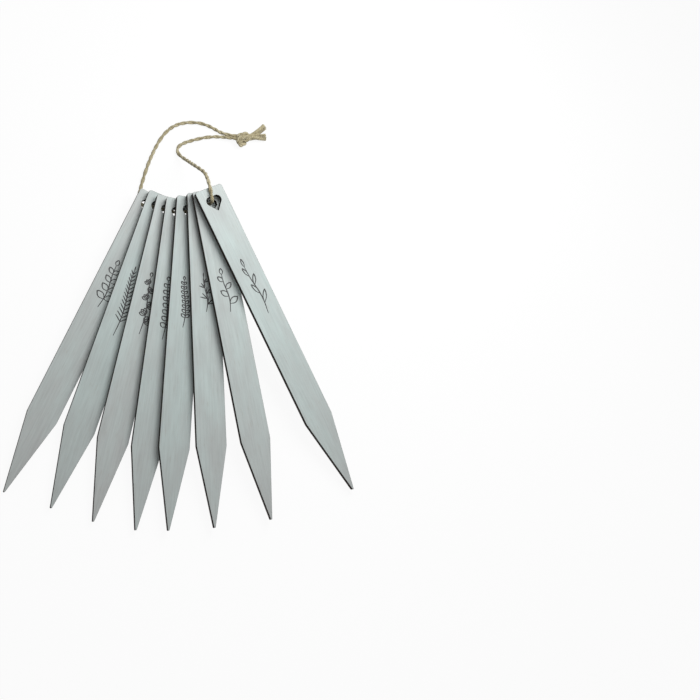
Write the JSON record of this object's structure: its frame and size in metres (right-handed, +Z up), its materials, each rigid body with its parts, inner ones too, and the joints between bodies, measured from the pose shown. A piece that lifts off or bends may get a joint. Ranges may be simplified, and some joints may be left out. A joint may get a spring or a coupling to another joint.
{
  "type": "plant label stakes",
  "caption": "Fan of thin wooden plant label stakes with burnt edges, heart-shaped holes and long points, strung on a knotted loop of jute twine for hanging.",
  "frame": {"origin": "on the table plane, under the middle of the row of heart-shaped holes", "axes": "+Z up from the table, +Y towards the heads and the loop of twine, -Y towards the points, +X to the right as seen from above with the points down"},
  "size_m": [0.2012, 0.2638, 0.0362],
  "materials": {
    "painted_wood": "pale grey wash on the faces, dark laser-burnt edges",
    "jute_twine": "natural two-ply jute, slightly hairy"
  },
  "bodies": {
    "twine": {"twine_threaded": "jute_twine"},
    "hanging_loop": {"twine_loop_left": "jute_twine", "twine_loop_right": "jute_twine", "twine_knot": "jute_twine"},
    "stake_1": {"stake_1": "painted_wood"},
    "stake_2": {"stake_2": "painted_wood"},
    "stake_3": {"stake_3": "painted_wood"},
    "stake_4": {"stake_4": "painted_wood"},
    "stake_5": {"stake_5": "painted_wood"},
    "stake_6": {"stake_6": "painted_wood"},
    "stake_7": {"stake_7": "painted_wood"},
    "stake_8": {"stake_8": "painted_wood"}
  },
  "joints": [
    {"name": "stake_1_swing", "type": "hinge", "parent": "twine", "child": "stake_1", "pos_m": [-0.0184, 0.00355, 0.00699], "axis": [0.1478, -0.0862, 0.9853], "range_deg": [-38.4, 81.6], "deforming": ["twine_threaded"]},
    {"name": "stake_2_swing", "type": "hinge", "parent": "twine", "child": "stake_2", "pos_m": [-0.01224, 0.00216, 0.01021], "axis": [0.1478, -0.0862, 0.9853], "range_deg": [-44.7, 75.3], "deforming": ["twine_threaded"]},
    {"name": "stake_3_swing", "type": "hinge", "parent": "twine", "child": "stake_3", "pos_m": [-0.00647, -0.00072, 0.01336], "axis": [0.1478, -0.0862, 0.9853], "range_deg": [-50.2, 69.8], "deforming": ["twine_threaded"]},
    {"name": "stake_4_swing", "type": "hinge", "parent": "twine", "child": "stake_4", "pos_m": [-0.00041, -0.00271, 0.01654], "axis": [0.1478, -0.0862, 0.9853], "range_deg": [-55.6, 64.4], "deforming": ["twine_threaded"]},
    {"name": "stake_5_swing", "type": "hinge", "parent": "twine", "child": "stake_5", "pos_m": [0.00594, -0.0021, 0.0199], "axis": [0.1478, -0.0862, 0.9853], "range_deg": [-59.2, 60.8], "deforming": ["twine_threaded"]},
    {"name": "stake_6_swing", "type": "hinge", "parent": "twine", "child": "stake_6", "pos_m": [0.0123, -0.00059, 0.02334], "axis": [0.1478, -0.0862, 0.9853], "range_deg": [-65.2, 54.8], "deforming": ["twine_threaded"]},
    {"name": "stake_7_swing", "type": "hinge", "parent": "twine", "child": "stake_7", "pos_m": [0.01589, 0.00008, 0.02712], "axis": [0.1478, -0.0862, 0.9853], "range_deg": [-74.2, 45.8], "deforming": ["twine_threaded"]},
    {"name": "stake_8_swing", "type": "hinge", "parent": "twine", "child": "stake_8", "pos_m": [0.01819, 0.00083, 0.03111], "axis": [0.1478, -0.0862, 0.9853], "range_deg": [-89.6, 30.4], "deforming": ["twine_threaded"]},
    {"name": "loop_swing", "type": "hinge", "parent": "twine", "child": "hanging_loop", "pos_m": [-0.0228, 0.0201, 0.001], "axis": [0.7494, -0.1148, 0.6521], "range_deg": [0, 100], "deforming": ["twine_threaded"]}
  ]
}
